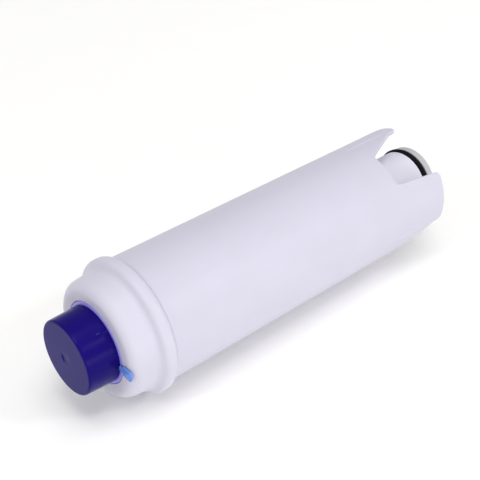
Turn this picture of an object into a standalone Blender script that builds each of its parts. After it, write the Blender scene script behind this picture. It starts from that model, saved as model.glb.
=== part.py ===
"""Tank water-filter cartridge with a date dial, lying on its side.

A white moulded tube holds two filter beds between felts and screens. A beaded cover with a violet
date dial closes one end. The other end is an O-ringed spigot inside a skirt with three windows.
Water enters through the holes around the spigot, rises through the beds, and leaves through the
riser tube and the spigot's bore.

Lengths below are millimetres along the filter's axis, measured from the dial's flat face (station)
or out from the axis (radius). The axis lies along +X, from the dial to the spigot, and +Z is up.
Angles around the axis are degrees from +Z towards -Y.
"""
import math

import bmesh
import bpy
from mathutils import Matrix, Vector

# Driving dimensions ----------------------------------------------------------
OVERALL_LENGTH = 160.0
BEAD_RADIUS = 23.8            # widest part, which the cartridge lies on
TUBE_RADIUS = 22.0            # tube's outside behind the cover
TUBE_END_RADIUS = 21.7        # the mould's draft narrows it a little
TUBE_WALL = 1.5
GAP = 0.3                     # clearance between neighbouring pieces
SEGMENTS = 48                 # facets of every turned piece, one of them flat on the ground

# Stations along the axis
COVER_FACE = 11.2
COVER_INNER_FACE = 14.0
BEAD_BACK = 26.4
COVER_PLUG_END = 33.5
WINDOW_ROOT = 132.5
SKIRT_END = 153.9
SPIGOT_FLANGE = 128.2
GROOVE_START = 154.4
GROOVE_END = 157.0

# Radii
DIAL_RADIUS = 13.3            # at the dial's base
DIAL_FACE_RADIUS = 12.95
DISC_RADIUS = 14.0
STEM_RADIUS = 4.9
STEM_GROOVE_RADIUS = 4.0
RISER_RADIUS = 4.5
RISER_BORE = 3.2
PLUG_RADIUS = TUBE_RADIUS - TUBE_WALL - GAP
BED_RADIUS = TUBE_END_RADIUS - TUBE_WALL - GAP
SPIGOT_RADIUS = 11.8
SPIGOT_BORE = 7.2
O_RING_SECTION = 1.0          # radius of its round section
O_RING_RADIUS = 11.5          # to the middle of its section

# Windows in the skirt, one every 120 degrees
WINDOW_COUNT = 3
WINDOW_EDGE = [               # angle, station at which the wall ends there
    (-12.0, 150.0), (-5.0, 145.0), (3.0, 138.5), (7.0, 135.0), (9.5, 133.2), (14.0, WINDOW_ROOT),
    (27.0, WINDOW_ROOT), (40.0, WINDOW_ROOT), (45.0, 133.2), (47.5, 135.5), (49.5, 142.0),
    (52.0, 149.0), (54.0, 156.0),
]
POINTER_ANGLE = 93.0

# Materials: colour, roughness, metallic --------------------------------------
WHITE = ("white_plastic", (0.80, 0.79, 0.86), 0.38, 0.0)
COVER_WHITE = ("cover_plastic", (0.82, 0.81, 0.87), 0.36, 0.0)
VIOLET = ("dial_plastic", (0.030, 0.018, 0.160), 0.30, 0.0)
PALE_VIOLET = ("disc_plastic", (0.20, 0.18, 0.60), 0.30, 0.0)
BLUE = ("pointer_plastic", (0.15, 0.26, 0.76), 0.32, 0.0)
ACETAL = ("acetal", (0.85, 0.85, 0.83), 0.40, 0.0)
STEEL = ("spring_steel", (0.62, 0.62, 0.64), 0.28, 1.0)
SEAL_GREY = ("seal_rubber", (0.10, 0.10, 0.11), 0.60, 0.0)
O_RING_BLACK = ("o_ring_rubber", (0.012, 0.012, 0.014), 0.42, 0.0)
SCREEN = ("screen_plastic", (0.76, 0.77, 0.80), 0.42, 0.0)
FELT = ("felt", (0.78, 0.77, 0.72), 0.95, 0.0)
CARBON = ("carbon_granules", (0.015, 0.015, 0.016), 0.90, 0.0)
RESIN = ("resin_beads", (0.50, 0.27, 0.08), 0.45, 0.0)
MESH = ("mesh_fabric", (0.70, 0.72, 0.74), 0.55, 0.0)

# Filter stack: node, thickness, material -------------------------------------
STACK_START = 36.0
FILTER_STACK = [
    ("upper_screen_plate", 1.5, SCREEN), ("upper_felt", 3.0, FELT), ("carbon_bed", 34.9, CARBON),
    ("divider_felt", 2.0, FELT), ("resin_bed", 43.4, RESIN), ("lower_felt", 3.0, FELT),
    ("lower_screen_plate", 1.5, SCREEN), ("inlet_mesh", 0.5, MESH),
]
PLATE_HOLES = 12
PLATE_HOLE_CIRCLE = 14.5
PLATE_HOLE_RADIUS = 2.2


def metres(millimetres):
    return millimetres / 1000.0


def x_of(station):
    """World X of a station: the filter is centred on the origin along its axis."""
    return metres(station - OVERALL_LENGTH / 2)


def around(angle, radius):
    """Y and Z of a point at a radius and an angle around the axis."""
    turn = math.radians(angle)
    return -metres(radius) * math.sin(turn), metres(radius) * math.cos(turn)


def clear_scene():
    for old in list(bpy.data.objects):
        bpy.data.objects.remove(old, do_unlink=True)


def make_material(recipe):
    name, colour, roughness, metallic = recipe
    material = bpy.data.materials.get(name)
    if material is None:
        material = bpy.data.materials.new(name)
        material.use_nodes = True
        shader = material.node_tree.nodes["Principled BSDF"]
        shader.inputs["Base Color"].default_value = (*colour, 1.0)
        shader.inputs["Roughness"].default_value = roughness
        shader.inputs["Metallic"].default_value = metallic
        material.diffuse_color = (*colour, 1.0)
    return material


def finish(name, mesh_builder, recipe, axis_empty):
    """Turn a finished bmesh into a named object under the empty that marks its axis."""
    bmesh.ops.recalc_face_normals(mesh_builder, faces=mesh_builder.faces)
    mesh = bpy.data.meshes.new(name)
    mesh_builder.to_mesh(mesh)
    mesh_builder.free()
    mesh.materials.append(make_material(recipe))
    mesh.shade_smooth()
    mesh.set_sharp_from_angle(angle=math.radians(35))
    piece = bpy.data.objects.new(name, mesh)
    bpy.context.scene.collection.objects.link(piece)
    piece.parent = axis_empty
    piece.matrix_parent_inverse = Matrix.Translation(-axis_empty.location)
    piece.location = (0.0, 0.0, metres(BEAD_RADIUS))
    return piece


def axis_marker(name, station):
    """An empty on the filter's axis, which pieces hang from."""
    marker = bpy.data.objects.new(name, None)
    bpy.context.scene.collection.objects.link(marker)
    marker.location = (x_of(station), 0.0, metres(BEAD_RADIUS))
    return marker


def ring_of_vertices(builder, station, radius):
    """Vertices of one circle, outside the true circle so that the facets touch it."""
    corner_radius = radius / math.cos(math.pi / SEGMENTS)
    ring = []
    for index in range(SEGMENTS):
        y, z = around((index + 0.5) * 360.0 / SEGMENTS, corner_radius)
        ring.append(builder.verts.new((x_of(station), y, z)))
    return ring


def join_rings(builder, first, second):
    """Faces between two neighbouring circles, either of which may be one point on the axis."""
    for index in range(SEGMENTS):
        after = (index + 1) % SEGMENTS
        corners = [first[index % len(first)], first[after % len(first)],
                   second[after % len(second)], second[index % len(second)]]
        builder.faces.new(list(dict.fromkeys(corners)))


def turned(name, profile, recipe, axis_empty):
    """A solid of revolution. A profile that starts and ends on the axis is solid in the middle."""
    builder = bmesh.new()
    rings = []
    for station, radius in profile:
        if radius == 0:
            rings.append([builder.verts.new((x_of(station), 0.0, 0.0))])
        else:
            rings.append(ring_of_vertices(builder, station, radius))
    for first, second in zip(rings, rings[1:]):
        join_rings(builder, first, second)
    if len(rings[0]) > 1:
        join_rings(builder, rings[-1], rings[0])
    return finish(name, builder, recipe, axis_empty)


def washer(name, inner, outer, start, end, recipe, axis_empty):
    profile = [(start, inner), (start, outer), (end, outer), (end, inner)]
    return turned(name, profile, recipe, axis_empty)


def prism(name, sections, recipe, axis_empty):
    """A closed solid through cross-sections that each have the same number of corners."""
    builder = bmesh.new()
    loops = [[builder.verts.new(corner) for corner in section] for section in sections]
    for first, second in zip(loops, loops[1:]):
        for index, corner in enumerate(first):
            after = (index + 1) % len(first)
            builder.faces.new((corner, first[after], second[after], second[index]))
    builder.faces.new(loops[0])
    builder.faces.new(loops[-1])
    return finish(name, builder, recipe, axis_empty)


def make_cutter(cutter):
    cutter.hide_render = True
    cutter.display_type = "WIRE"
    return cutter


def cut(piece, cutter):
    modifier = piece.modifiers.new(cutter.name, "BOOLEAN")
    modifier.operation = "DIFFERENCE"
    modifier.solver = "EXACT"
    modifier.object = make_cutter(cutter)


def drill_ring(piece, count, circle_radius, hole_radius, start, end, axis_empty, sides=10):
    """Cut a ring of round holes along the axis."""
    for hole in range(count):
        y, z = around(hole * 360.0 / count, circle_radius)
        sections = []
        for station in (start, end):
            section = []
            for side in range(sides):
                turn = 2 * math.pi * (side + 0.5) / sides
                section.append((x_of(station), y + metres(hole_radius) * math.cos(turn),
                                z + metres(hole_radius) * math.sin(turn)))
            sections.append(section)
        cut(piece, prism(f"{piece.name}_drill_{hole}", sections, ACETAL, axis_empty))


# Housing ---------------------------------------------------------------------
def window_cutter(name, turn, axis_empty):
    """A block that leaves the slanted sides and the rounded root of one skirt window."""
    inner, outer, beyond = 17.0, 26.0, 165.0
    sections = []
    for angle, station in WINDOW_EDGE:
        inner_yz = around(angle + turn, inner)
        outer_yz = around(angle + turn, outer)
        sections.append([(x_of(station), *inner_yz), (x_of(station), *outer_yz),
                         (x_of(beyond), *outer_yz), (x_of(beyond), *inner_yz)])
    return prism(name, sections, WHITE, axis_empty)


def housing_tube(axis_empty):
    profile = [
        (BEAD_BACK + GAP, TUBE_RADIUS), (SKIRT_END, TUBE_END_RADIUS),
        (SKIRT_END, TUBE_END_RADIUS - TUBE_WALL), (BEAD_BACK + GAP, TUBE_RADIUS - TUBE_WALL),
    ]
    tube = turned("housing_tube", profile, WHITE, axis_empty)
    for window in range(WINDOW_COUNT):
        turn = window * 360.0 / WINDOW_COUNT
        cut(tube, window_cutter(f"window_cutter_{window}", turn, axis_empty))


def top_cover(axis_empty):
    """Neck, bead and plug, with a recess in its face for the dial's disc."""
    recess_floor = COVER_FACE + 1.2
    recess_radius = DISC_RADIUS + 0.4
    stem_hole = STEM_RADIUS + GAP
    inner_wall = 17.6
    seal_groove = 18.9
    profile = [
        (recess_floor, stem_hole), (recess_floor, recess_radius), (COVER_FACE, recess_radius),
        (COVER_FACE, 18.4), (11.5, 19.3), (12.2, 19.95), (13.4, 20.3), (19.0, 20.9),
        (19.8, 21.2), (20.3, 21.8), (20.7, 22.6), (21.3, 23.3), (22.2, 23.7), (23.4, BEAD_RADIUS),
        (24.6, 23.65), (25.7, 22.95), (BEAD_BACK, 22.1), (BEAD_BACK, PLUG_RADIUS),
        (29.4, PLUG_RADIUS), (29.4, seal_groove), (31.6, seal_groove), (31.6, PLUG_RADIUS),
        (COVER_PLUG_END, PLUG_RADIUS), (COVER_PLUG_END, inner_wall),
        (COVER_INNER_FACE, inner_wall), (COVER_INNER_FACE, stem_hole),
    ]
    turned("top_cover", profile, COVER_WHITE, axis_empty)


def cover_seal(axis_empty):
    washer("cover_seal", 19.2, PLUG_RADIUS, 29.7, 31.3, SEAL_GREY, axis_empty)


# Date dial -------------------------------------------------------------------
def dial_cap(axis_empty):
    wall = 1.6
    base = COVER_FACE - 0.1
    profile = [
        (0.45, 0.0), (0.0, 1.5), (0.0, 12.2), (0.2, 12.7), (0.8, DIAL_FACE_RADIUS),
        (base, DIAL_RADIUS), (base, DIAL_RADIUS - wall), (2.0, DIAL_FACE_RADIUS - wall), (2.0, 0.0),
    ]
    turned("dial_cap", profile, VIOLET, axis_empty)


def dial_disc(axis_empty):
    start = COVER_FACE + 0.2
    washer("dial_disc", STEM_RADIUS + GAP, DISC_RADIUS, start, start + 0.7, PALE_VIOLET, axis_empty)


def date_pointer(axis_empty):
    """Tapered arm that lies on the cover's face and turns with the dial."""
    root_radius, tip_radius = DIAL_RADIUS + GAP, 20.0
    root_width, tip_width = 2.8, 1.2
    top, bottom = COVER_FACE - 0.9, COVER_FACE - GAP
    turn = math.radians(POINTER_ANGLE)
    outward = Vector((0.0, -math.sin(turn), math.cos(turn)))
    sideways = Vector((0.0, math.cos(turn), math.sin(turn)))
    outline = [(root_radius, -root_width / 2), (root_radius, root_width / 2),
               (tip_radius - 0.8, tip_width), (tip_radius, tip_width / 3),
               (tip_radius, -tip_width / 3), (tip_radius - 0.8, -tip_width)]
    sections = []
    for station in (top, bottom):
        corners = []
        for radius, offset in outline:
            corner = outward * metres(radius) + sideways * metres(offset)
            corners.append((x_of(station), corner.y, corner.z))
        sections.append(corners)
    prism("date_pointer", sections, BLUE, axis_empty)


def dial_stem(axis_empty):
    profile = [
        (2.3, 0.0), (2.3, STEM_RADIUS), (14.9, STEM_RADIUS), (14.9, STEM_GROOVE_RADIUS),
        (16.1, STEM_GROOVE_RADIUS), (16.1, STEM_RADIUS), (17.5, STEM_RADIUS - 0.8), (17.5, 0.0),
    ]
    turned("dial_stem", profile, ACETAL, axis_empty)


def retaining_clip(axis_empty):
    """C-shaped clip in the stem's groove, open on one side."""
    inner, outer, start, end = STEM_GROOVE_RADIUS + GAP, 7.5, 15.2, 15.8
    half_opening, steps = 35.0, 24
    sections = []
    for step in range(steps + 1):
        angle = half_opening + step * (360.0 - 2 * half_opening) / steps
        sections.append([(x_of(start), *around(angle, inner)), (x_of(start), *around(angle, outer)),
                         (x_of(end), *around(angle, outer)), (x_of(end), *around(angle, inner))])
    prism("dial_retaining_clip", sections, STEEL, axis_empty)


def detent_washer(axis_empty):
    washer("dial_detent_washer", 5.6, 9.5, 14.3, 14.9, STEEL, axis_empty)


# Filter beds -----------------------------------------------------------------
def filter_stack(axis_empty):
    """Plates, felts and beds one after another, from the cover to the spigot's flange."""
    start = STACK_START
    for name, thickness, recipe in FILTER_STACK:
        washer(name, RISER_RADIUS + GAP, BED_RADIUS, start, start + thickness, recipe, axis_empty)
        if recipe is SCREEN:
            drill_ring(bpy.data.objects[name], PLATE_HOLES, PLATE_HOLE_CIRCLE, PLATE_HOLE_RADIUS,
                       start - 1.0, start + thickness + 1.0, axis_empty)
        start += thickness + GAP


# Water outlet ----------------------------------------------------------------
def riser(axis_empty):
    washer("riser_tube", RISER_BORE, RISER_RADIUS, 33.0, 131.0, ACETAL, axis_empty)
    washer("riser_collar", RISER_RADIUS + GAP, SPIGOT_BORE - GAP, 129.0, 134.0, SEAL_GREY, axis_empty)
    outer, inner, inlet_hole = 6.2, RISER_RADIUS + GAP, 1.5
    profile = [(27.5, inlet_hole), (27.5, outer), (35.7, outer), (35.7, inner),
               (29.0, inner), (29.0, inlet_hole)]
    turned("riser_strainer", profile, SCREEN, axis_empty)


def outlet_spigot(axis_empty):
    """End plate with inlet holes, and the spigot with its O-ring groove."""
    flange_end = SPIGOT_FLANGE + 2.0
    groove_floor = O_RING_RADIUS - O_RING_SECTION - GAP
    lip_radius = SPIGOT_RADIUS + 0.2
    profile = [
        (SPIGOT_FLANGE, SPIGOT_BORE), (SPIGOT_FLANGE, BED_RADIUS), (flange_end, BED_RADIUS),
        (flange_end, SPIGOT_RADIUS + 0.9), (flange_end + 0.9, SPIGOT_RADIUS),
        (GROOVE_START, SPIGOT_RADIUS), (GROOVE_START, groove_floor), (GROOVE_END, groove_floor),
        (GROOVE_END, lip_radius), (OVERALL_LENGTH - 0.6, lip_radius),
        (OVERALL_LENGTH, lip_radius - 0.6), (OVERALL_LENGTH, SPIGOT_BORE),
    ]
    spigot = turned("outlet_spigot", profile, WHITE, axis_empty)
    drill_ring(spigot, 12, 16.3, 1.9, SPIGOT_FLANGE - 1.0, flange_end + 1.0, axis_empty)


def spigot_o_ring(axis_empty):
    middle = (GROOVE_START + GROOVE_END) / 2
    sides = 10
    profile = []
    for side in range(sides):
        turn = 2 * math.pi * side / sides
        profile.append((middle + O_RING_SECTION * math.cos(turn),
                        O_RING_RADIUS + O_RING_SECTION * math.sin(turn)))
    turned("spigot_o_ring", profile, O_RING_BLACK, axis_empty)


def outlet_strainer(axis_empty):
    """Small holed disc inside the spigot's bore."""
    start, end, centre_hole = 150.0, 151.6, 1.2
    washer("outlet_strainer", centre_hole, SPIGOT_BORE - GAP, start, end, SCREEN, axis_empty)
    strainer = bpy.data.objects["outlet_strainer"]
    drill_ring(strainer, 6, 4.2, 1.3, start - 1.0, end + 1.0, axis_empty, sides=8)


def main():
    clear_scene()
    body_axis = axis_marker("filter_axis", OVERALL_LENGTH / 2)
    dial_axis = axis_marker("dial_axis", COVER_FACE)
    housing_tube(body_axis)
    top_cover(body_axis)
    cover_seal(body_axis)
    dial_cap(dial_axis)
    dial_disc(dial_axis)
    date_pointer(dial_axis)
    dial_stem(dial_axis)
    retaining_clip(dial_axis)
    detent_washer(body_axis)
    filter_stack(body_axis)
    riser(body_axis)
    outlet_spigot(body_axis)
    spigot_o_ring(body_axis)
    outlet_strainer(body_axis)


main()
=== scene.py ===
"""Finished look of the water-filter cartridge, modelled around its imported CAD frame.

Each shell that shows is turned again here with fine facets, moulded edges and small marks, and
stands for its CAD node. The parts sealed inside stay CAD nodes with finished materials.

Lengths are millimetres along the filter's axis from the dial's flat face (station) or out from
the axis (radius), and angles are degrees around the axis from +Z towards -Y. They become metres
in the frame only in at() and metres().
"""
import math

import bmesh
import bpy
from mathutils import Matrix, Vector


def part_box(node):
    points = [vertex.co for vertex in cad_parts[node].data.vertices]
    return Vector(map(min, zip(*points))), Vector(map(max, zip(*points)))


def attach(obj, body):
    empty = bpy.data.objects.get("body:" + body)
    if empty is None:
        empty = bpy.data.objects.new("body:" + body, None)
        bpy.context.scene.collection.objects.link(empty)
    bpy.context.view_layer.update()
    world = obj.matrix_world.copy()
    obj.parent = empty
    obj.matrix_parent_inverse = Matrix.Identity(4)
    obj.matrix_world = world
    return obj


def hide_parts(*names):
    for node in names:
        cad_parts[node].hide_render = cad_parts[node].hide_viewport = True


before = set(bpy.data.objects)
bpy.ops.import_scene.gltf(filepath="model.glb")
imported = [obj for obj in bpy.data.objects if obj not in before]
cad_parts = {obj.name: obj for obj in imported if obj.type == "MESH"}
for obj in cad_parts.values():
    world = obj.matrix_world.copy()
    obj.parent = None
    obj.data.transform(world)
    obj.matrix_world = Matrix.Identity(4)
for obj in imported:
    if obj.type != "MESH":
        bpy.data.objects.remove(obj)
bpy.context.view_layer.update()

# The frame's own sizes -------------------------------------------------------
COVER_LOW, COVER_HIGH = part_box("top_cover")
AXIS_HEIGHT = (COVER_LOW.z + COVER_HIGH.z) / 2
DIAL_FACE_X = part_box("dial_cap")[0].x


def metres(millimetres):
    return millimetres / 1000.0


def ends(node):
    """First and last station of a CAD node."""
    low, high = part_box(node)
    return (low.x - DIAL_FACE_X) * 1000.0, (high.x - DIAL_FACE_X) * 1000.0


def radius_of(node):
    low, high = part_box(node)
    return (high.z - low.z) * 500.0


def at(station, radius, angle):
    """World point at a station, a radius and an angle in degrees around the axis."""
    turn = math.radians(angle)
    return Vector((DIAL_FACE_X + metres(station), -metres(radius) * math.sin(turn),
                   AXIS_HEIGHT + metres(radius) * math.cos(turn)))


BEAD_RADIUS = radius_of("top_cover")
TUBE_RADIUS = radius_of("housing_tube")
DIAL_RADIUS = radius_of("dial_cap")
DISC_RADIUS = radius_of("dial_disc")
COVER_FACE, COVER_PLUG_END = ends("top_cover")
TUBE_START, SKIRT_END = ends("housing_tube")
DIAL_BASE = ends("dial_cap")[1]
SPIGOT_FLANGE, SPIGOT_END = ends("outlet_spigot")
O_RING_START, O_RING_END = ends("spigot_o_ring")
STRAINER_START, STRAINER_END = ends("outlet_strainer")
BED_RADIUS = radius_of("lower_felt")

# Sizes that the CAD boxes don't give
TUBE_WALL = 1.5
SHELL_START = TUBE_START - 0.25       # closer to the bead than the frame's clearance
MOUTH = 0.2                           # chamfer where the tube meets the bead
TUBE_END_RADIUS = 21.7
PLUG_RADIUS = 20.2
STEM_HOLE_RADIUS = 5.2
DIAL_FACE_RADIUS = 12.9
SPIGOT_RADIUS = 11.8
SPIGOT_BORE = 7.2
POINTER_ANGLE = 93.0
WINDOW_COUNT = 3
WINDOW_SPACING = 360.0 / WINDOW_COUNT

# The skirt's cut edge is laid out flat: arc length at the tube's end against station
MM_PER_DEGREE = math.radians(TUBE_END_RADIUS)
LAP = 360.0 * MM_PER_DEGREE
EDGE_SPACING = 0.35
EDGE_FILLET = 0.45
EDGE_STEPS = 5
WALL_ROWS = 44

# Meshes
FINE_SEGMENTS = 192
SHARP_ANGLE = math.radians(40.0)

# Camera and studio -----------------------------------------------------------
CAMERA_FROM_DIAL = Vector((-115.45, -213.37, 215.68))   # millimetres, from the dial's face
CAMERA_HEADING = 41.2                                   # degrees from +Y towards +X
CAMERA_PITCH = 35.8                                     # degrees below the horizon
CAMERA_LENS = 77.5                                      # millimetres


# Outlines --------------------------------------------------------------------
def rounded(corners, closed=True, steps=5):
    """Chain of straight lines through (x, y, fillet) corners, with an arc at each fillet."""
    points = []
    for index, (x, y, fillet) in enumerate(corners):
        here = Vector((x, y))
        if fillet == 0 or (not closed and index in (0, len(corners) - 1)):
            points.append(here)
            continue
        back = (Vector(corners[index - 1][:2]) - here).normalized()
        ahead = (Vector(corners[(index + 1) % len(corners)][:2]) - here).normalized()
        half_angle = back.angle(ahead) / 2
        centre = here + (back + ahead).normalized() * fillet / math.sin(half_angle)
        reach = fillet / math.tan(half_angle)
        spoke = here + back * reach - centre
        turn = math.pi - 2 * half_angle
        bends_right = back.x * ahead.y - back.y * ahead.x > 0
        if bends_right:
            turn = -turn
        # A point just outside each end of the arc keeps the shading of the straight lines flat.
        hold = min(0.12, 0.3 * fillet)
        points.append(here + back * (reach + hold))
        for step in range(steps + 1):
            angle = turn * step / steps
            cosine, sine = math.cos(angle), math.sin(angle)
            points.append(centre + Vector((spoke.x * cosine - spoke.y * sine,
                                           spoke.x * sine + spoke.y * cosine)))
        points.append(here + ahead * (reach + hold))
    return points


def evenly_spaced(points, spacing):
    """The same chain with extra points, so that none are further apart than the spacing."""
    result = [points[0]]
    for first, second in zip(points, points[1:]):
        parts = max(1, math.ceil((second - first).length / spacing))
        for part in range(1, parts + 1):
            result.append(first.lerp(second, part / parts))
    return result


# Mesh building ---------------------------------------------------------------
def make_piece(name, builder):
    """Object from a mesh being built, with its normals outwards and its sharp edges marked."""
    bmesh.ops.remove_doubles(builder, verts=builder.verts, dist=1e-7)
    bmesh.ops.recalc_face_normals(builder, faces=builder.faces)
    mesh = bpy.data.meshes.new(name)
    builder.to_mesh(mesh)
    builder.free()
    mesh.shade_smooth()
    mesh.set_sharp_from_angle(angle=SHARP_ANGLE)
    piece = bpy.data.objects.new(name, mesh)
    bpy.context.scene.collection.objects.link(piece)
    return piece


def settle(piece, material, body, slot, *nodes):
    """Give a finished piece its material and its body, and hide the CAD nodes that it stands for.
    """
    piece.data.materials.clear()
    piece.data.materials.append(material)
    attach(piece, body)
    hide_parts(*nodes)


def turned(name, outline, segments=FINE_SEGMENTS, dent=None):
    """Solid of revolution from (station, radius) points.

    dent gives the shift along the axis and outwards at a station, a radius and an angle.
    """
    builder = bmesh.new()
    rings = []
    for station, radius in outline:
        ring = []
        count = 1 if radius < 1e-6 else segments
        for index in range(count):
            angle = 360.0 * index / segments
            inward, swell = dent(station, radius, angle) if dent else (0.0, 0.0)
            ring.append(builder.verts.new(at(station + inward, radius + swell, angle)))
        rings.append(ring)
    pairs = list(zip(rings, rings[1:]))
    if len(rings[0]) > 1:
        pairs.append((rings[-1], rings[0]))
    for first, second in pairs:
        for index in range(segments):
            after = (index + 1) % segments
            corners = [first[index % len(first)], first[after % len(first)],
                       second[after % len(second)], second[index % len(second)]]
            builder.faces.new(list(dict.fromkeys(corners)))
    return make_piece(name, builder)


def drill(piece, count, circle_radius, hole_radius, start, end):
    """Cut a ring of round holes, with a small chamfer at each mouth, along the axis."""
    chamfer, overshoot, sides = 0.3, 1.0, 40
    mouth_radius = hole_radius + overshoot + chamfer
    outline = [(start - overshoot, mouth_radius), (start + chamfer, hole_radius),
               (end - chamfer, hole_radius), (end + overshoot, mouth_radius)]
    builder = bmesh.new()
    for hole in range(count):
        centre = at(0.0, circle_radius, 360.0 * hole / count)
        rings = []
        for station, radius in outline:
            ring = []
            for side in range(sides):
                turn = 2 * math.pi * side / sides
                offset = Vector((metres(station), metres(radius) * math.cos(turn),
                                 metres(radius) * math.sin(turn)))
                ring.append(builder.verts.new(centre + offset))
            rings.append(ring)
        for first, second in zip(rings, rings[1:]):
            for side in range(sides):
                after = (side + 1) % sides
                builder.faces.new((first[side], first[after], second[after], second[side]))
        builder.faces.new(rings[0])
        builder.faces.new(rings[-1])
    cutter = make_piece(f"{piece.name}_drill", builder)
    modifier = piece.modifiers.new("holes", "BOOLEAN")
    modifier.operation = "DIFFERENCE"
    modifier.solver = "EXACT"
    modifier.object = cutter
    apply_modifiers(piece)
    bpy.data.objects.remove(cutter, do_unlink=True)
    piece.data.set_sharp_from_angle(angle=SHARP_ANGLE)


def apply_modifiers(piece):
    """Replace a piece's mesh by its final one."""
    graph = bpy.context.evaluated_depsgraph_get()
    mesh = bpy.data.meshes.new_from_object(piece.evaluated_get(graph))
    piece.modifiers.clear()
    piece.data = mesh


# Materials -------------------------------------------------------------------
def new_material(name, colour, roughness, **settings):
    """Principled material. Each setting is a shader input's name, in lower case with _ for
    the spaces."""
    material = bpy.data.materials.new(name)
    material.use_nodes = True
    shader = material.node_tree.nodes["Principled BSDF"]
    shader.inputs["Base Color"].default_value = (*colour, 1.0)
    shader.inputs["Roughness"].default_value = roughness
    for setting, value in settings.items():
        label = setting.replace("_", " ").title().replace("Ior", "IOR")
        shader.inputs[label].default_value = value
    return material, material.node_tree, shader


def add_node(tree, kind, **inputs):
    """New shader node. Each input is named as in Blender, with _ for the spaces."""
    node = tree.nodes.new(kind)
    for label, value in inputs.items():
        node.inputs[label.replace("_", " ")].default_value = value
    return node


def object_coordinates(tree, scale=(1.0, 1.0, 1.0)):
    """The piece's own coordinates, in metres, stretched by the scale."""
    coordinates = tree.nodes.new("ShaderNodeTexCoord")
    mapping = add_node(tree, "ShaderNodeMapping", Scale=scale)
    tree.links.new(coordinates.outputs["Object"], mapping.inputs["Vector"])
    return mapping.outputs["Vector"]


def noise(tree, vector, scale, detail=3.0, roughness=0.5):
    """Noise from 0 to 1. The scale is in waves per metre."""
    node = add_node(tree, "ShaderNodeTexNoise", Scale=scale, Detail=detail, Roughness=roughness)
    tree.links.new(vector, node.inputs["Vector"])
    return node.outputs["Fac"]


def ramp(tree, factor, stops):
    """Colour ramp from (position, grey or colour) stops."""
    node = tree.nodes.new("ShaderNodeValToRGB")
    elements = node.color_ramp.elements
    while len(elements) < len(stops):
        elements.new(0.5)
    for element, (position, colour) in zip(elements, stops):
        element.position = position
        rgb = colour if isinstance(colour, tuple) else (colour,) * 3
        element.color = (*rgb, 1.0)
    tree.links.new(factor, node.inputs["Fac"])
    return node.outputs["Color"]


def mixed(tree, factor, first, second, blend="MIX"):
    """Mix of two colours, each an output or a colour, by a factor output or number."""
    node = tree.nodes.new("ShaderNodeMix")
    node.data_type = "RGBA"
    node.blend_type = blend
    factor_socket, first_socket, second_socket = 0, 6, 7      # the node's colour sockets
    colour_output = 2
    for socket, value in ((factor_socket, factor), (first_socket, first), (second_socket, second)):
        if isinstance(value, bpy.types.NodeSocket):
            tree.links.new(value, node.inputs[socket])
        elif socket == factor_socket:
            node.inputs[socket].default_value = value
        else:
            node.inputs[socket].default_value = (*value, 1.0)
    return node.outputs[colour_output]


def bump(tree, shader, height, strength, distance_mm, normal=None):
    """Bump on the shader's normal, over an earlier bump's normal if that is given."""
    node = add_node(tree, "ShaderNodeBump", Strength=strength, Distance=metres(distance_mm))
    tree.links.new(height, node.inputs["Height"])
    if normal:
        tree.links.new(normal, node.inputs["Normal"])
    tree.links.new(node.outputs["Normal"], shader.inputs["Normal"])
    return node.outputs["Normal"]


def moulded_plastic(name, colour, roughness, shade=0.94, grain=0.01, ripple=0.03, streaks=0.35,
                    **settings):
    """Injection-moulded plastic: cloudy colour, flow streaks, hazy gloss, ripple and grain."""
    material, tree, shader = new_material(name, colour, roughness, **settings)
    plain = object_coordinates(tree)
    along = object_coordinates(tree, (0.08, 1.0, 1.0))
    cloud = noise(tree, plain, 55.0, 4.0)
    flow = noise(tree, along, 420.0, 3.0)
    darker = tuple(part * shade for part in colour)
    base = mixed(tree, ramp(tree, cloud, [(0.35, 0.0), (0.65, 1.0)]), darker, colour)
    streaked = mixed(tree, ramp(tree, flow, [(0.52, 0.0), (0.72, streaks)]), base, darker)
    tree.links.new(streaked, shader.inputs["Base Color"])
    haze = noise(tree, plain, 190.0, 5.0, 0.65)
    rough = ramp(tree, haze, [(0.3, roughness - 0.05), (0.7, roughness + 0.07)])
    tree.links.new(rough, shader.inputs["Roughness"])
    soft = bump(tree, shader, noise(tree, plain, 110.0, 1.0), 0.5, ripple)
    bump(tree, shader, noise(tree, plain, 2600.0, 2.0), 0.5, grain, soft)
    return material


def white_plastic():
    return moulded_plastic("white_plastic", (0.604, 0.588, 0.692), 0.44, shade=0.975, streaks=0.5,
                           specular_ior_level=0.35)


def cover_plastic():
    return moulded_plastic("cover_plastic", (0.620, 0.604, 0.708), 0.42, shade=0.98, streaks=0.3,
                           specular_ior_level=0.35)


def lightened_spigot_plastic():
    """Painted light: the spigot is a lighter white than the tube, so that its drum in the skirt's
    shaded windows looks as bright as the tube. The lip beyond the O-ring is a little greyer than
    the rest of the spigot.
    """
    # colour is a lighter white than white_plastic's: painted light for the drum in the shaded
    # windows.
    colour, lip_grey, blend_width = (0.74, 0.72, 0.82), (0.48, 0.48, 0.505), metres(0.5)
    material = moulded_plastic("lightened_spigot_plastic", colour, 0.44, shade=0.975,
                               specular_ior_level=0.35)
    tree = material.node_tree
    shader = tree.nodes["Principled BSDF"]
    streaked = shader.inputs["Base Color"].links[0].from_socket
    split = tree.nodes.new("ShaderNodeSeparateXYZ")
    tree.links.new(object_coordinates(tree), split.inputs["Vector"])
    lip_start = at(O_RING_END, 0.0, 0.0).x
    share = add_node(tree, "ShaderNodeMapRange", From_Min=lip_start - blend_width,
                     From_Max=lip_start)
    tree.links.new(split.outputs["X"], share.inputs["Value"])
    tint = mixed(tree, share.outputs["Result"], streaked, lip_grey)
    tree.links.new(tint, shader.inputs["Base Color"])
    return material


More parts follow.
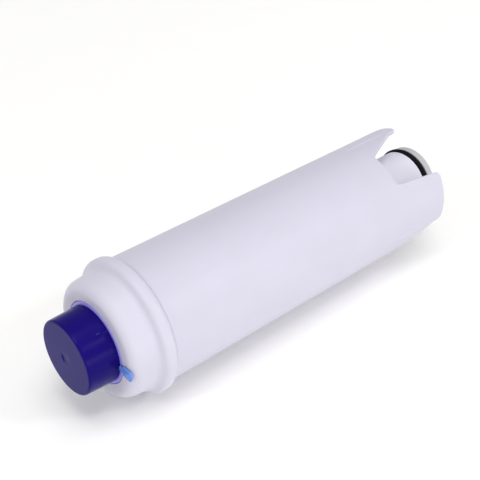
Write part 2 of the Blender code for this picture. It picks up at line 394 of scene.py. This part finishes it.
def dial_plastic():
    """Deep violet and polished."""
    return moulded_plastic("dial_plastic", (0.009, 0.003, 0.150), 0.20, shade=0.9, grain=0.0005,
                           ripple=0.003, streaks=0.15, specular_ior_level=0.065)


def disc_plastic():
    return moulded_plastic("disc_plastic", (0.37, 0.34, 0.99), 0.32, shade=0.92)


def pointer_plastic():
    return moulded_plastic("pointer_plastic", (0.13, 0.27, 0.78), 0.34, shade=0.9)


def rubber(name, colour, roughness):
    """Matt rubber with a faint dusty bloom in patches."""
    material, tree, shader = new_material(name, colour, roughness, specular_ior_level=0.02)
    plain = object_coordinates(tree)
    bloom = ramp(tree, noise(tree, plain, 340.0, 5.0, 0.7), [(0.5, 0.0), (0.85, 0.3)])
    dusty = tuple(part * 1.5 + 0.015 for part in colour)
    tree.links.new(mixed(tree, bloom, colour, dusty), shader.inputs["Base Color"])
    bump(tree, shader, noise(tree, plain, 2600.0, 3.0), 0.4, 0.02)
    return material


def natural_plastic(name, colour, roughness):
    """Smooth unpigmented plastic for parts that hardly show."""
    return moulded_plastic(name, colour, roughness, shade=0.95, grain=0.008, streaks=0.2)


def spring_steel():
    """Bright steel, brushed along Y."""
    material, tree, shader = new_material("spring_steel", (0.62, 0.62, 0.64), 0.28, metallic=1.0)
    brushed = noise(tree, object_coordinates(tree, (1.0, 0.05, 1.0)), 2400.0, 4.0)
    rough = ramp(tree, brushed, [(0.3, 0.2), (0.7, 0.42)])
    tree.links.new(rough, shader.inputs["Roughness"])
    bump(tree, shader, brushed, 0.3, 0.01)
    return material


def felt():
    """Matted fibres: two stretched noises at right angles."""
    material, tree, shader = new_material("felt", (0.78, 0.77, 0.72), 0.95, sheen_weight=0.4)
    layers = []
    for stretch in ((1.0, 0.12, 1.0), (1.0, 1.0, 0.12)):
        fibres = noise(tree, object_coordinates(tree, stretch), 3600.0, 4.0)
        layers.append(ramp(tree, fibres, [(0.3, 0.0), (0.7, 1.0)]))
    matted = mixed(tree, 0.5, *layers)
    tree.links.new(mixed(tree, matted, (0.62, 0.61, 0.56), (0.82, 0.81, 0.77)),
                   shader.inputs["Base Color"])
    bump(tree, shader, matted, 0.8, 0.12)
    return material


def granules(name, low, high, scale, roughness):
    """Packed grains or beads: one cell each, domed and coloured by cell."""
    material, tree, shader = new_material(name, low, roughness)
    cells = add_node(tree, "ShaderNodeTexVoronoi", Scale=scale)
    tree.links.new(object_coordinates(tree), cells.inputs["Vector"])
    tint = mixed(tree, cells.outputs["Color"], low, high)
    tree.links.new(tint, shader.inputs["Base Color"])
    dome = ramp(tree, cells.outputs["Distance"], [(0.0, 1.0), (0.8, 0.0)])
    bump(tree, shader, dome, 1.0, 0.4)
    return material


def mesh_fabric():
    """Woven filter mesh: threads along Y and Z, with painted shade in the openings between them.
    """
    material, tree, shader = new_material("mesh_fabric", (0.72, 0.74, 0.76), 0.5)
    threads = []
    for direction in ("Y", "Z"):
        wave = add_node(tree, "ShaderNodeTexWave", Scale=700.0, Distortion=0.4)
        wave.bands_direction = direction
        tree.links.new(object_coordinates(tree), wave.inputs["Vector"])
        threads.append(wave.outputs["Color"])
    weave = mixed(tree, 1.0, *threads, "LIGHTEN")
    # The dark grey fills the openings between the threads: painted shade for the gaps.
    tree.links.new(mixed(tree, weave, (0.20, 0.21, 0.23), (0.78, 0.79, 0.81)),
                   shader.inputs["Base Color"])
    bump(tree, shader, weave, 0.8, 0.1)
    return material


# Shells that show ------------------------------------------------------------
def skirt_edge():
    """Where the tube's wall ends, once round it, as (arc length, station) points."""
    one_window = [        # angle, station, fillet
        (-12.0, SKIRT_END, 2.4), (-12.0, 150.0, 2.2), (10.2, 132.5, 2.6), (46.6, 132.5, 2.4),
        (53.4, SKIRT_END, 2.4),
    ]
    corners = []
    for window in range(WINDOW_COUNT):
        for angle, station, fillet in one_window:
            corners.append(((angle + window * WINDOW_SPACING) * MM_PER_DEGREE, station, fillet))
    # One corner of the lap before and one of the lap after make the first and last arcs whole.
    first, last = corners[0], corners[-1]
    lapped = [(last[0] - LAP, *last[1:])] + corners + [(first[0] + LAP, *first[1:])]
    path = rounded(lapped, closed=False, steps=6)[1:-1]
    path.append(path[0] + Vector((LAP, 0.0)))
    return evenly_spaced(path, EDGE_SPACING)[:-1]


def angle_between(first, second, turn=360.0):
    """Signed difference of two angles, at most half a turn (or of the given repeat) either way."""
    return (first - second + turn / 2) % turn - turn / 2


def rib_height(station, angle):
    """Soft stiffening rib beside one edge of each tab."""
    start, end, middle, half_width, height = 126.0, 148.0, -17.0, 4.2, 0.45
    offset = angle_between(angle, middle, WINDOW_SPACING)
    if abs(offset) >= half_width or not start < station < end:
        return 0.0
    across = math.cos(math.pi / 2 * offset / half_width) ** 2
    along = math.sin(math.pi * (station - start) / (end - start)) ** 0.5
    return height * across * along


def housing_shell(material):
    """Tube with three windows in its skirt and a rounded edge all the way round them."""
    edge = skirt_edge()
    one_lap = Vector((LAP, 0.0))
    neighbours = zip([edge[-1] - one_lap] + edge[:-1], edge[1:] + [edge[0] + one_lap])
    builder = bmesh.new()
    columns = []
    for index, (before, after) in enumerate(neighbours):
        along = (after - before).normalized()
        inward = Vector((along.y, -along.x))
        root_angle = edge[0].x / MM_PER_DEGREE + 360.0 * index / len(edge)
        strip = shell_column(edge[index], inward, root_angle)
        columns.append([builder.verts.new(corner) for corner in strip])
    for first, second in zip(columns, columns[1:] + columns[:1]):
        for row in range(len(first)):
            after = (row + 1) % len(first)
            builder.faces.new((first[row], first[after], second[after], second[row]))
    piece = make_piece("tube_shell", builder)
    settle(piece, material, "root", "white_plastic", "housing_tube")


def shell_column(point, inward, root_angle):
    """One line of points on the tube's wall: outside, round its edge, and back along the inside.

    Columns start evenly spaced at the bead and lean over to reach their place on the cut edge.
    """
    tip = point + inward * EDGE_FILLET
    tip_angle = tip.x / MM_PER_DEGREE
    corners = []
    shares = [0.0, 0.004, 0.012] + [0.03 + 0.97 * row / WALL_ROWS for row in range(WALL_ROWS)]
    for share in shares:
        station = SHELL_START + MOUTH + (tip.y - SHELL_START - MOUTH) * share
        angle = root_angle + (tip_angle - root_angle) * share
        corners.append(at(station, tube_radius(station) + rib_height(station, angle), angle))
    for outside, start in ((True, 90.0), (False, 0.0)):
        for step in range(EDGE_STEPS + 1):
            turn = math.radians(start - 90.0 * step / EDGE_STEPS)
            place = point + inward * EDGE_FILLET * (1 - math.cos(turn))
            angle = place.x / MM_PER_DEGREE
            radius = tube_radius(place.y)
            if outside:
                radius += rib_height(place.y, angle) - EDGE_FILLET * (1 - math.sin(turn))
            else:
                radius += EDGE_FILLET * (1 + math.sin(turn)) - TUBE_WALL
            corners.append(at(place.y, radius, angle))
    for share in reversed(shares):
        station = SHELL_START + (tip.y - SHELL_START) * share
        angle = root_angle + (tip_angle - root_angle) * share
        corners.append(at(station, tube_radius(station) - TUBE_WALL, angle))
    corners.append(at(SHELL_START, TUBE_RADIUS - MOUTH, root_angle))
    return corners


def tube_radius(station):
    """Outside radius of the tube, which tapers a little towards the skirt."""
    share = (station - TUBE_START) / (SKIRT_END - TUBE_START)
    return TUBE_RADIUS + (TUBE_END_RADIUS - TUBE_RADIUS) * share


def cover_shell(material):
    """Neck, bead and plug in one moulding, with a lipped recess for the dial's disc."""
    recess_floor = COVER_FACE + 1.2
    recess_radius = DISC_RADIUS + 0.4
    bead_back = TUBE_START - 0.3      # the bead ends against the tube
    neck_floor, plug_bore = 14.0, 17.6
    groove_start, groove_end, groove_floor = 29.4, 31.6, 18.9
    corners = [
        (recess_floor, STEM_HOLE_RADIUS, 0.1), (recess_floor, recess_radius, 0.15),
        (COVER_FACE, recess_radius, 0.2), (COVER_FACE, 20.15, 3.4), (20.3, 21.1, 2.2),
        (21.9, BEAD_RADIUS, 1.9), (25.2, BEAD_RADIUS, 2.1), (bead_back, 22.2, 0.3),
        (bead_back, PLUG_RADIUS, 0.0), (groove_start, PLUG_RADIUS, 0.1),
        (groove_start, groove_floor, 0.1), (groove_end, groove_floor, 0.1),
        (groove_end, PLUG_RADIUS, 0.1), (COVER_PLUG_END, PLUG_RADIUS, 0.4),
        (COVER_PLUG_END, plug_bore, 0.3), (neck_floor, plug_bore, 0.4),
        (neck_floor, STEM_HOLE_RADIUS, 0.1),
    ]
    piece = turned("cover_moulding", rounded(corners, steps=8))
    settle(piece, material, "root", "cover_plastic", "top_cover")


def dial_marks(station, radius, angle):
    """Dimple with a crescent in the middle of the dial's face, and an index groove on its side."""
    near_face, gate_radius = 0.5, 3.2
    if station < near_face and radius < gate_radius:
        return gate_mark(radius, angle), 0.0
    start, end, middle, half_width, depth = 6.8, 10.9, 37.0, 2.6, 0.16
    offset = angle_between(angle, middle)
    if radius < DIAL_FACE_RADIUS or abs(offset) > half_width or not start < station < end:
        return 0.0, 0.0
    along = math.sin(math.pi * (station - start) / (end - start)) ** 0.5
    return 0.0, -depth * along * math.cos(math.pi / 2 * offset / half_width)


def gate_mark(radius, angle):
    """Depth of the face's dimple, which has a deeper crescent at one side."""
    dish_radius, dish_depth = 2.6, 0.10
    dish = dish_depth * max(0.0, 1 - (radius / dish_radius) ** 2) ** 2
    crescent_radius, half_width, crescent_depth = 1.9, 0.5, 0.32
    middle, half_angle = 245.0, 50.0
    across, along = radius - crescent_radius, angle_between(angle, middle)
    if abs(along) > half_angle or abs(across) > half_width:
        return dish
    crescent = crescent_depth * math.cos(math.pi / 2 * along / half_angle)
    return dish + crescent * math.cos(math.pi / 2 * across / half_width)


def dial_knob(material):
    """Hollow knob, finely meshed where its face and side carry marks."""
    wall, inner_face, inner_face_radius = 1.6, 2.0, 11.35
    mark_rings, mark_spacing, spacing = 24, 0.15, 0.5
    face = [Vector((0.0, mark_spacing * ring)) for ring in range(mark_rings)]
    side = rounded([(0.0, 3.5, 0.0), (0.0, DIAL_FACE_RADIUS, 0.75), (DIAL_BASE, DIAL_RADIUS, 0.2),
                    (DIAL_BASE, DIAL_RADIUS - wall, 0.2), (inner_face, inner_face_radius, 0.8),
                    (inner_face, 0.0, 0.0)], closed=False, steps=8)
    outline = face + evenly_spaced(side, spacing)[1:]
    piece = turned("dial_knob", outline, segments=360, dent=dial_marks)
    settle(piece, material, "dial", "dial_plastic", "dial_cap")


def dial_plate(material):
    """Flush ring that fills the cover's recess and shows round the dial's base."""
    end = ends("dial_disc")[1]
    start, edge_radius = DIAL_BASE + 0.05, DISC_RADIUS + 0.25
    corners = [(start, STEM_HOLE_RADIUS, 0.1), (start, edge_radius, 0.2),
               (end, edge_radius, 0.15), (end, STEM_HOLE_RADIUS, 0.1)]
    piece = turned("dial_plate", rounded(corners, steps=5))
    settle(piece, material, "dial", "disc_plastic", "dial_disc")


def pointer_arm(material):
    """Short stem and rounded pad that shows the date and turns with the dial."""
    top, bottom = ends("date_pointer")
    root, pad, tip = DIAL_RADIUS + 0.3, 15.4, 20.0
    shoulder, stem_side, pad_side = tip - 0.6, 0.8, 1.9
    outline = rounded([(root, -stem_side, 0.2), (root, stem_side, 0.2), (pad, stem_side, 0.2),
                       (pad, pad_side, 0.5), (shoulder, pad_side, 0.8), (tip, 0.0, 0.8),
                       (shoulder, -pad_side, 0.8), (pad, -pad_side, 0.5),
                       (pad, -stem_side, 0.2)], steps=5)
    # Its top edge is rounded off in two steps: station and how far the outline shrinks.
    levels = [(bottom, 0.0), (top + 0.2, 0.0), (top + 0.06, 0.06), (top, 0.2)]
    turn = math.radians(POINTER_ANGLE)
    outward = Vector((0.0, -math.sin(turn), math.cos(turn)))
    sideways = Vector((0.0, math.cos(turn), math.sin(turn)))
    middle = Vector(((root + tip) / 2, 0.0))
    builder = bmesh.new()
    loops = []
    for station, shrink in levels:
        loop = []
        for point in outline:
            inset = point - (point - middle).normalized() * shrink
            loop.append(builder.verts.new(at(station, 0.0, 0.0) + outward * metres(inset.x)
                                          + sideways * metres(inset.y)))
        loops.append(loop)
    for first, second in zip(loops, loops[1:]):
        for index in range(len(outline)):
            after = (index + 1) % len(outline)
            builder.faces.new((first[index], first[after], second[after], second[index]))
    builder.faces.new(loops[0])
    builder.faces.new(loops[-1])
    piece = make_piece("pointer_arm", builder)
    settle(piece, material, "dial", "pointer_plastic", "date_pointer")


def spigot(material):
    """End plate with inlet holes, and the spigot with the lips that hold its O-ring."""
    flange_end = SPIGOT_FLANGE + 2.0
    groove_start, groove_end, groove_floor = O_RING_START - 0.3, O_RING_END + 0.3, 10.2
    lip_radius = SPIGOT_RADIUS + 0.2
    corners = [
        (SPIGOT_FLANGE, SPIGOT_BORE, 0.2), (SPIGOT_FLANGE, BED_RADIUS, 0.2),
        (flange_end, BED_RADIUS, 0.3), (flange_end, SPIGOT_RADIUS, 1.0),
        (groove_start, SPIGOT_RADIUS, 0.15), (groove_start, groove_floor, 0.2),
        (groove_end, groove_floor, 0.2), (groove_end, lip_radius, 0.2),
        (SPIGOT_END, lip_radius, 0.7), (SPIGOT_END, SPIGOT_BORE, 0.6),
    ]
    piece = turned("spigot_moulding", rounded(corners, steps=5))
    drill(piece, count=12, circle_radius=16.3, hole_radius=1.9,
          start=SPIGOT_FLANGE, end=flange_end)
    settle(piece, material, "root", "white_plastic", "outlet_spigot")


def o_ring(material):
    """Ring of round section, as thick as the frame's."""
    middle, section_radius = (O_RING_START + O_RING_END) / 2, (O_RING_END - O_RING_START) / 2
    centre_radius = radius_of("spigot_o_ring") - section_radius
    sides = 24
    outline = []
    for side in range(sides):
        turn = 2 * math.pi * side / sides
        outline.append(Vector((middle + section_radius * math.cos(turn),
                               centre_radius + section_radius * math.sin(turn))))
    settle(turned("o_ring", outline), material, "root", "o_ring_rubber", "spigot_o_ring")


def strainer(material):
    """Drilled disc inside the spigot's bore."""
    inner_radius, outer_radius = 1.2, 6.9
    corners = [(STRAINER_START, inner_radius, 0.1), (STRAINER_START, outer_radius, 0.2),
               (STRAINER_END, outer_radius, 0.2), (STRAINER_END, inner_radius, 0.1)]
    piece = turned("strainer_disc", rounded(corners, steps=4))
    drill(piece, count=6, circle_radius=4.2, hole_radius=1.3,
          start=STRAINER_START, end=STRAINER_END)
    settle(piece, material, "root", "screen_plastic", "outlet_strainer")


# Studio ----------------------------------------------------------------------
def camera():
    """Camera above and beyond the dial's end, on the -Y side."""
    data = bpy.data.cameras.new("camera")
    data.lens = CAMERA_LENS
    data.clip_start = 0.01
    viewer = bpy.data.objects.new("camera", data)
    viewer.location = at(0.0, 0.0, 0.0) + CAMERA_FROM_DIAL / 1000.0
    viewer.rotation_euler = (math.radians(90.0 - CAMERA_PITCH), 0.0, math.radians(-CAMERA_HEADING))
    bpy.context.scene.collection.objects.link(viewer)
    bpy.context.scene.camera = viewer


def floor():
    """Pale sheet that touches the bead and the skirt's end, so it leans by about a degree."""
    half_size, bead_station = 3.0, 24.4
    rise = BEAD_RADIUS - TUBE_END_RADIUS
    lean = math.atan2(rise, SKIRT_END - bead_station)
    builder = bmesh.new()
    bmesh.ops.create_grid(builder, x_segments=1, y_segments=1, size=half_size)
    sheet = make_piece("floor", builder)
    sheet.location = (at(bead_station, 0.0, 0.0).x, 0.0, 0.0)
    sheet.rotation_euler = (0.0, -lean, 0.0)
    material, tree, shader = new_material("floor", (0.965, 0.96, 0.945), 0.6)
    grain = noise(tree, object_coordinates(tree), 60.0, 4.0)
    tone = ramp(tree, grain, [(0.3, (0.96, 0.955, 0.94)), (0.7, (0.97, 0.965, 0.95))])
    tree.links.new(tone, shader.inputs["Base Color"])
    shader.inputs["Emission Color"].default_value = (1.0, 1.0, 1.0, 1.0)
    shader.inputs["Emission Strength"].default_value = 0.05
    sheet.data.materials.append(material)


def softbox(name, place, target, size, power):
    """Area light at a place, facing the target. Lengths are metres, the power watts."""
    data = bpy.data.lights.new(name, "AREA")
    data.shape = "RECTANGLE"
    data.size, data.size_y = size
    data.energy = power
    box = bpy.data.objects.new(name, data)
    box.location = place
    box.rotation_euler = (Vector(target) - Vector(place)).to_track_quat("-Z", "Y").to_euler()
    bpy.context.scene.collection.objects.link(box)


def studio():
    """Even white surroundings, a large softbox overhead and three small ones for highlights."""
    world = bpy.data.worlds.new("studio")
    world.use_nodes = True
    background = world.node_tree.nodes["Background"]
    background.inputs["Color"].default_value = (1.0, 1.0, 1.0, 1.0)
    background.inputs["Strength"].default_value = 0.57
    bpy.context.scene.world = world
    middle = (0.0, 0.0, AXIS_HEIGHT)
    softbox("overhead_softbox", (-0.12, -0.50, 2.70), middle, (1.5, 1.5), 27.0)
    softbox("key_softbox", (0.42, -0.70, 0.72), middle, (0.14, 0.14), 1.7)
    softbox("front_softbox", (-0.15, -0.94, 0.14), middle, (0.9, 0.2), 2.2)
    softbox("left_softbox", (-0.85, 0.05, 0.60), middle, (0.12, 0.12), 1.1)
    bpy.context.scene.view_settings.view_transform = "Standard"


# Sealed parts ----------------------------------------------------------------
HIDDEN_NODES = {
    "cover_seal": "seal_rubber", "dial_stem": "acetal", "dial_retaining_clip": "spring_steel",
    "dial_detent_washer": "spring_steel", "upper_screen_plate": "screen_plastic",
    "upper_felt": "felt", "carbon_bed": "carbon_granules", "divider_felt": "felt",
    "resin_bed": "resin_beads", "lower_felt": "felt", "lower_screen_plate": "screen_plastic",
    "inlet_mesh": "mesh_fabric", "riser_tube": "acetal", "riser_collar": "seal_rubber",
    "riser_strainer": "screen_plastic",
}


def finish_nodes(materials):
    """The CAD nodes sealed inside stay as they are and take their finished materials."""
    for node, material_name in HIDDEN_NODES.items():
        for material_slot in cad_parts[node].material_slots:
            material_slot.material = materials[material_name]


def main():
    camera()
    studio()
    floor()
    screen = natural_plastic("screen_plastic", (0.76, 0.77, 0.80), 0.42)
    housing_shell(white_plastic())
    cover_shell(cover_plastic())
    dial_knob(dial_plastic())
    dial_plate(disc_plastic())
    pointer_arm(pointer_plastic())
    spigot(lightened_spigot_plastic())
    o_ring(rubber("o_ring_rubber", (0.010, 0.010, 0.012), 0.45))
    strainer(screen)
    finish_nodes({
        "seal_rubber": rubber("seal_rubber", (0.10, 0.10, 0.11), 0.6),
        "acetal": natural_plastic("acetal", (0.85, 0.85, 0.83), 0.4),
        "spring_steel": spring_steel(),
        "screen_plastic": screen,
        "felt": felt(),
        "carbon_granules": granules("carbon_granules", (0.012, 0.012, 0.013), (0.05, 0.05, 0.05),
                                    scale=900.0, roughness=0.9),
        "resin_beads": granules("resin_beads", (0.40, 0.20, 0.05), (0.60, 0.34, 0.11),
                                scale=1400.0, roughness=0.4),
        "mesh_fabric": mesh_fabric(),
    })


main()
